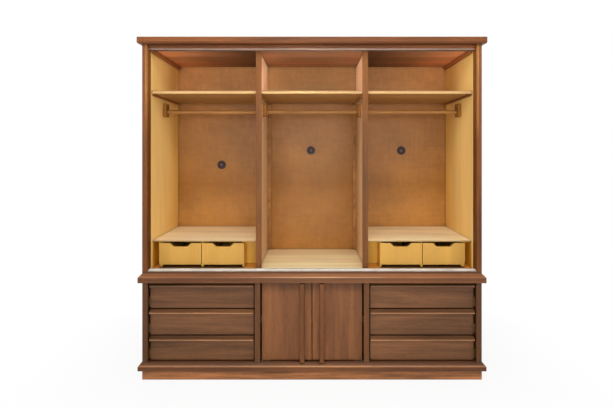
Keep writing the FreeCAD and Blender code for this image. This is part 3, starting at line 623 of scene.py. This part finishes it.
def pick_faces(piece, wanted):
    """Selects the faces that pass a test, in edit mode."""
    bpy.ops.object.mode_set(mode="EDIT")
    bpy.ops.mesh.select_mode(type="FACE")
    bpy.ops.mesh.select_all(action="DESELECT")
    bpy.ops.object.mode_set(mode="OBJECT")
    for face in piece.data.polygons:
        face.select = wanted(face)
    bpy.ops.object.mode_set(mode="EDIT")


def looks_up(face):
    return face.normal.z > FLAT


def give_faces(piece, material):
    """Gives one of a piece's materials to its selected faces."""
    piece.active_material_index = piece.data.materials.find(material.name)
    bpy.ops.object.material_slot_assign()


SMOOTH_ANGLE = math.radians(35.0)


def smoothed(piece, width):
    """Breaks the sharp edges of a piece and shades it by angle."""
    bpy.ops.object.mode_set(mode="OBJECT")
    edge = piece.modifiers.new("broken_edges", "BEVEL")
    edge.width = width
    edge.segments = 2
    bpy.ops.object.modifier_apply(modifier=edge.name)
    bpy.ops.object.shade_smooth_by_angle(angle=SMOOTH_ANGLE)


def copied(name, model, places, turn):
    """Copies of a modelled piece at several places, turned alike and joined under one name."""
    bpy.ops.object.select_all(action="DESELECT")
    for place in places:
        copy = model.copy()
        copy.data = model.data.copy()
        bpy.context.scene.collection.objects.link(copy)
        copy.location = place
        copy.rotation_euler = turn
        copy.select_set(True)
        bpy.context.view_layer.objects.active = copy
    bpy.ops.object.transform_apply(location=True, rotation=True, scale=True)
    bpy.ops.object.join()
    piece = bpy.context.object
    piece.name = name
    return piece


# The face of each cap: a shallow dish inside a rim, with a raised button and a small hole in it.
FACE_DEPTH = 0.0016
RIM_WIDTH = 0.0035
DISH_FALL = 0.7 * FACE_DEPTH
BUTTON_RADIUS = 0.011
BUTTON_RISE = 0.4 * FACE_DEPTH
HOLE_RADIUS = 0.0035
HOLE_DEPTH = 0.5 * FACE_DEPTH
FACE_EASE = FACE_DEPTH / 8
QUARTER = math.radians(90.0)
caps = solids_along_x("grommet_caps")
cap_radius = (caps[0][1][0] - caps[0][0][0]) / 2
bpy.ops.object.select_all(action="DESELECT")
bpy.ops.mesh.primitive_cylinder_add(vertices=48, radius=cap_radius, depth=FACE_DEPTH)
cap_face = bpy.context.object
cap_face.data.materials.append(GROMMET_RIM)
cap_face.data.materials.append(GROMMET_DISH)
pick_faces(cap_face, looks_up)
bpy.ops.mesh.inset(thickness=RIM_WIDTH)
bpy.ops.mesh.inset(thickness=FACE_DEPTH, depth=-DISH_FALL)
bpy.ops.mesh.inset(thickness=cap_radius - RIM_WIDTH - FACE_DEPTH - BUTTON_RADIUS)
bpy.ops.mesh.inset(thickness=BUTTON_RISE, depth=BUTTON_RISE)
give_faces(cap_face, GROMMET_DISH)
bpy.ops.mesh.inset(thickness=BUTTON_RADIUS - BUTTON_RISE - HOLE_RADIUS)
give_faces(cap_face, GROMMET_RIM)
bpy.ops.mesh.extrude_region_move(TRANSFORM_OT_translate={"value": (0.0, 0.0, -HOLE_DEPTH)})
smoothed(cap_face, FACE_EASE)
places = [((low[0] + high[0]) / 2, low[1] - FACE_DEPTH / 2, (low[2] + high[2]) / 2) for low, high in caps]
dishes = copied("grommet_dishes", cap_face, places, (QUARTER, 0.0, 0.0))
bpy.data.objects.remove(cap_face)
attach(dishes, "carcass")

# Sliding-door tracks
# Extruded aluminium: a double channel screwed under the frieze and a ribbed plate along the sill,
# whose skin has gone dull.
dress(metal("track_top", (146, 121, 107), (0.4, 0.55)), "top_track")
dress(metal("track_sill", (198, 190, 180), (0.35, 0.5), bare=0.4), "bottom_track")

# Hat shelves, cleats, hanging rails and brackets
# Pale veneered shelves on stained cleats. The turned rails drop into slots of wooden blocks that
# are screwed to the walls of each bay.
CENTRE_BAY = {"x": (0.0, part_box("divider_right")[0].x)}
# How deep the tone of a single face reaches.
FACE_SKIN = 0.002
SHELF_FRONT = {"y": (OPEN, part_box("hat_shelves")[0].y + FACE_SKIN)}
# Painted shade on the undersides of the shelves.
dark_arris = patch(0.65, z=(shelf_top - 0.004, shelf_top, 0.002))
darker_front = patch(0.84, **CENTRE_BAY, **SHELF_FRONT)
dress(wood("pale_shelf", (210, 162, 100), "X", spread=0.1, streak=10.0, fine=80.0, pores=0.05,
           faces={"under": (0.6, 0.56, 0.5), "front": (0.8, 0.86, 0.98)}, patches=[dark_arris, darker_front]),
      "hat_shelves")
battens = patch((1.4, 1.7, 1.9), **CENTRE_BAY)
under_ceiling = patch((1.7, 1.7, 2.2), z=(1.9, 2.1))
dress(wood("stained_strip", (140, 86, 40), "Y", streak=20.0, patches=[battens, under_ceiling], darkest=0.6),
      "cleats")
dress(wood("stained_block", (150, 97, 36), "Z", streak=20.0, darkest=0.6), "rail_brackets")
dress(wood("turned_rail", (169, 119, 65), "X", streak=40.0), "hanging_rails")

# Screws
# Slotted heads of dull steel that hold the rail brackets, the sill track and the back panels. One
# head is modelled lying on the floor, and every place gets a copy.
HEAD_RADIUS = 0.0036
HEAD_HEIGHT = 0.0012
SLOT_WIDTH = 0.0009
SLOT_DEPTH = 0.0007
HEAD_EASE = HEAD_HEIGHT / 8
PROUD = 0.0004
SUNK = HEAD_HEIGHT / 2 - PROUD


def in_slot(face):
    return looks_up(face) and abs(face.center.x) < SLOT_WIDTH / 2


bpy.ops.object.select_all(action="DESELECT")
bpy.ops.mesh.primitive_cylinder_add(vertices=20, radius=HEAD_RADIUS, depth=HEAD_HEIGHT)
screw_head = bpy.context.object
bpy.ops.object.mode_set(mode="EDIT")
for wall in (-SLOT_WIDTH / 2, SLOT_WIDTH / 2):
    bpy.ops.mesh.select_all(action="SELECT")
    bpy.ops.mesh.bisect(plane_co=(wall, 0.0, 0.0), plane_no=(1.0, 0.0, 0.0))
pick_faces(screw_head, in_slot)
bpy.ops.mesh.extrude_region_move(TRANSFORM_OT_translate={"value": (0.0, 0.0, -SLOT_DEPTH)})
smoothed(screw_head, HEAD_EASE)
screw_head.data.materials.append(metal("screw_steel", (112, 98, 84), (0.35, 0.5)))


def screws(name, places, turn):
    """Screw heads with their middles at these places, each turned from facing up."""
    piece = copied(name, screw_head, places, turn)
    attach(piece, "carcass")


# Two screws in the bay's face of each bracket, one in the middle of each cheek beside the rail's slot.
CHEEK_MIDDLE = 0.0226
CHEEK_HEIGHT = 0.055
for first, (end, into_bay) in enumerate({"left": 1, "right": -1}.items()):
    places = []
    for low, high in solids_along_x("rail_brackets")[first::2]:
        face = high[0] if into_bay > 0 else low[0]
        rail = (low[1] + high[1]) / 2
        for off_rail in (-CHEEK_MIDDLE, CHEEK_MIDDLE):
            places.append((face - into_bay * SUNK, rail + off_rail, low[2] + CHEEK_HEIGHT))
    screws(f"bracket_screws_{end}_ends", places, (0.0, into_bay * QUARTER, 0.0))
# A row along the sill, between the ribs of the track.
TRACK_PLATE = 0.0015
TRACK_PITCH = 0.4
TRACK_SLOT_TURN = 0.4
low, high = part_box("bottom_track")
level = low.z + TRACK_PLATE - SUNK
screws("track_screws", [(TRACK_PITCH * step, (low.y + high.y) / 2, level) for step in range(-2, 3)],
       (0.0, 0.0, TRACK_SLOT_TURN))
# Columns up the rear, at the outer edges and on either side of the joints of the back panels.
BACK_PITCH = 0.25
BACK_ROWS = 6
JOINT_OFFSET = 0.006
EDGE_OFFSET = 0.005
LOWER_ROWS = (0.15, 0.5, 0.85)
joint = sum(corner.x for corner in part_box("divider_right")) / 2
low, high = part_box("back_panels")
lowest = (low.z + high.z) / 2 - BACK_PITCH * (BACK_ROWS - 1) / 2
places = []
for sign in (-1, 1):
    for column in (joint - JOINT_OFFSET, joint + JOINT_OFFSET, high.x - EDGE_OFFSET):
        for row in range(BACK_ROWS):
            places.append((sign * column, high.y - SUNK, lowest + BACK_PITCH * row))
low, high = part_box("lower_back_panel")
for sign in (-1, 1):
    for share in LOWER_ROWS:
        places.append((sign * joint, high.y - SUNK, low.z + (high.z - low.z) * share))
screws("back_screws", places, (-QUARTER, 0.0, 0.0))
bpy.data.objects.remove(screw_head)

# Inner chests and their drawers
# Small chests of pale wood in the outer bays: upright panels, a thin top across the bay and two
# drawers each, with a finger scoop sawn into the top edge of every front.
shaded_by_divider = patch((0.48, 0.5, 0.58), x=(0.3, 0.375, 0.045))
dress(wood("chest_panel", (233, 181, 73), "Y", spread=0.12, streak=10.0, pores=0.05,
           patches=[shaded_by_divider], reach=0.01, darkest=0.4),
      "inner_chest_left", "inner_chest_right")
dress(wood("chest_top", (247, 223, 178), "X", offset=(0.4, 0.0, 0.0), spread=0.2, streak=10.0, pores=0.05,
           faces={"front": (0.3, 0.21, 0.12)}),
      "inner_chest_tops")
for side in SIDES:
    for number, cell in enumerate(("inner", "outer")):
        name = f"inner_drawer_{side}_{cell}"
        front_face = {"y": (OPEN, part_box(name)[0].y + FACE_SKIN)}
        dress(wood(f"pale_{name}", (183, 138, 63), "Z", offset=(0.3 * number, 0.0, 0.0), spread=0.1,
                   streak=12.0, fine=90.0, pores=0.1, reach=0.03, darkest=0.0, unshaded=front_face),
              name)

# Ceiling, frieze and cornice
# A stained ceiling board, a walnut rail above the track, and the overhanging top with its
# rounded bed moulding, which is mitred at both corners.
UNDERSIDE = {"z": (0.0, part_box("ceiling_board")[0].z + FACE_SKIN)}
# Painted shadow on the ceiling's underside beside the dividers, and painted light beside the linings and over
# the centre bay.
shadow_beside_dividers = patch(0.3, **UNDERSIDE, x=(OPEN, 0.58, 0.16))
light_beside_linings = patch(1.8, **UNDERSIDE, x=(0.82, 1.2, 0.12))
light_over_centre_bay = patch((3.5, 4.1, 4.8), **UNDERSIDE, **CENTRE_BAY)
dress(wood("stained_ceiling", WALNUT_VENEER, "X", streak=8.0, faces={"under": (2.75, 3.3, 3.8)},
           patches=[shadow_beside_dividers, light_beside_linings, light_over_centre_bay]),
      "ceiling_board")
darker_middle = patch(0.7, x=(OPEN, 0.4, 0.3))
dress(wood("walnut_frieze", (115, 67, 35), "X", offset=(0.6, 0.0, 0.0), patches=[darker_middle], darkest=0.6),
      "frieze_rail")
# Painted highlights on the cornice's edges and bevels, and a painted reflection along the round of its lower
# edge.
CORNICE_HIGHLIGHTS = {"edge": 1.6, "bevel": 1.5}
dress(wood("walnut_cornice", (105, 59, 25), "X", offset=(0.2, 0.0, 0.4), spread=0.4,
           faces=CORNICE_HIGHLIGHTS | {"lower_edge": (2.6, 3.2, 4.0)}),
      "cornice_top")
dress(wood("walnut_bed_moulding", (93, 51, 21), "MITRED", offset=(0.5, 0.0, 0.1), faces=CORNICE_HIGHLIGHTS),
      "cornice_moulding")

# Floor of the studio
# A wide pale sweep that the unit stands on. It keeps the unit's shadow and fades to plain white a
# little way off.
STUDIO_WIDTH = 60.0
STUDIO_GREY = (240, 240, 240)
FADE = 0.8
WHITE_AT_UNIT = 0.86
WHITE = (1.0, 1.0, 1.0, 1.0)
bpy.ops.object.select_all(action="DESELECT")
bpy.ops.mesh.primitive_plane_add(size=STUDIO_WIDTH, location=(0.0, 0.0, 0.0))
studio_floor = bpy.context.object
studio_floor.name = "studio_floor"
floor_material, tree = new_material("studio_floor")
away = []
for part, low, high in zip(own_xyz(tree)[:2], cad_low, cad_high):
    off_centre = maths(tree, "ABSOLUTE", maths(tree, "SUBTRACT", part, (low + high) / 2))
    away.append(maths(tree, "MAXIMUM", maths(tree, "SUBTRACT", off_centre, (high - low) / 2), 0.0))
squares = maths(tree, "MULTIPLY_ADD", away[0], away[0], maths(tree, "POWER", away[1], 2.0))
distance = maths(tree, "SQRT", squares)


def seen_directly(tree):
    """1 where the camera sees it, also in a gloss or through glass, and 0 where it lights a surface."""
    rays = add(tree, "LightPath").outputs
    seen = maths(tree, "MAXIMUM", rays["Is Camera Ray"], rays["Is Glossy Ray"])
    return maths(tree, "MAXIMUM", seen, rays["Is Transmission Ray"])


share = maths(tree, "MULTIPLY", seen_directly(tree), ranged(tree, distance, WHITE_AT_UNIT, 1.0, end=FADE))
diffuse = add(tree, "BsdfDiffuse", Color=paint(*STUDIO_GREY))
glow = add(tree, "Emission", Color=WHITE, Strength=1.0)
both = add(tree, "MixShader", _0=share, _1=diffuse.outputs[0], _2=glow.outputs[0])
add(tree, "OutputMaterial", Surface=both.outputs[0])
studio_floor.data.materials.append(floor_material)

# Studio light
# A white room, with tall soft lamps at both sides and behind, a broad one before the unit, one above
# it and a low strip for the undersides. Two small gridded lamps light the centre bay above its shelf.
ROOM_LIGHT = 0.24
world = bpy.data.worlds.new("studio")
bpy.context.scene.world = world
world.use_nodes = True
tree = world.node_tree
tree.nodes.clear()
strength = maths(tree, "MULTIPLY_ADD", seen_directly(tree), 1.0 - ROOM_LIGHT, ROOM_LIGHT)
sky = add(tree, "Background", Color=WHITE, Strength=strength)
add(tree, "OutputWorld", Surface=sky.outputs[0])


# The spread of a lamp without a grid, in degrees.
WIDE = 180.0


def lamp(name, place, aim, size, power, spread=WIDE):
    """A soft lamp that faces a point of the unit. A gridded one spreads its light less, in degrees."""
    bpy.ops.object.light_add(type="AREA", location=place)
    light = bpy.context.object
    light.name = name
    light.visible_camera = False
    light.data.shape = "RECTANGLE"
    light.data.size, light.data.size_y = size
    light.data.energy = power
    light.data.spread = math.radians(spread)
    along = [b - a for a, b in zip(place, aim)]
    flat = math.hypot(along[0], along[1])
    light.rotation_euler = (math.atan2(flat, -along[2]), 0.0, math.atan2(-along[0], along[1]))


def lamp_pair(name, place, aim, size, power, spread=WIDE):
    """Two like lamps, one at each side. The place and aim given are those of the right one."""
    for side, sign in (("left", -1), ("right", 1)):
        lamp(f"{name}_{side}", (sign * place[0], *place[1:]), (sign * aim[0], *aim[1:]), size, power, spread)


UNIT_MIDDLE = (0.0, 0.0, 1.1)
TALL_BOX = (1.6, 2.0)
lamp_pair("side_lamp", (3.7, -2.6, 1.9), UNIT_MIDDLE, TALL_BOX, power=58.0)
lamp("front_lamp", (0.0, -4.4, 1.5), UNIT_MIDDLE, (3.4, 1.0), power=75.0)
lamp("top_lamp", (0.0, -2.6, 3.6), UNIT_MIDDLE, (3.0, 1.0), power=70.0)
lamp("low_strip", (0.0, -3.4, 0.25), (0.0, 0.0, 1.6), (3.0, 0.3), power=10.0)
lamp_pair("bay_lamp", (1.5, -1.9, 1.80), (-0.33, 0.06, 1.87), (0.2, 0.2), power=0.31, spread=12.0)
lamp_pair("rear_lamp", (3.0, 3.6, 2.2), UNIT_MIDDLE, TALL_BOX, power=55.0)

# Camera
# Square to the front at standing eye height, as the photograph was taken. The shift sets where
# the unit stands in a frame of 612 by 408.
FRAME_WIDTH = 612.0
FRAME_HEIGHT = 408.0
SENSOR = 36.0
VIEW_DISTANCE = 2.570
EYE_HEIGHT = 1.349
METRES_PER_PIXEL = 0.005965
VANISHING_X = 312.0
VANISHING_Y = 153.5
camera_data = bpy.data.cameras.new("camera")
camera_data.sensor_width = SENSOR
camera_data.lens = VIEW_DISTANCE / METRES_PER_PIXEL / FRAME_WIDTH * SENSOR
camera_data.shift_x = (FRAME_WIDTH / 2 - VANISHING_X) / FRAME_WIDTH
camera_data.shift_y = (VANISHING_Y - FRAME_HEIGHT / 2) / FRAME_WIDTH
camera = bpy.data.objects.new("camera", camera_data)
bpy.context.scene.collection.objects.link(camera)
camera.location = (0.0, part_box("upper_stiles")[0].y - VIEW_DISTANCE, EYE_HEIGHT)
camera.rotation_euler = (QUARTER, 0.0, 0.0)
bpy.context.scene.camera = camera

# Colours are shown as they are written.
bpy.context.scene.view_settings.view_transform = "Standard"
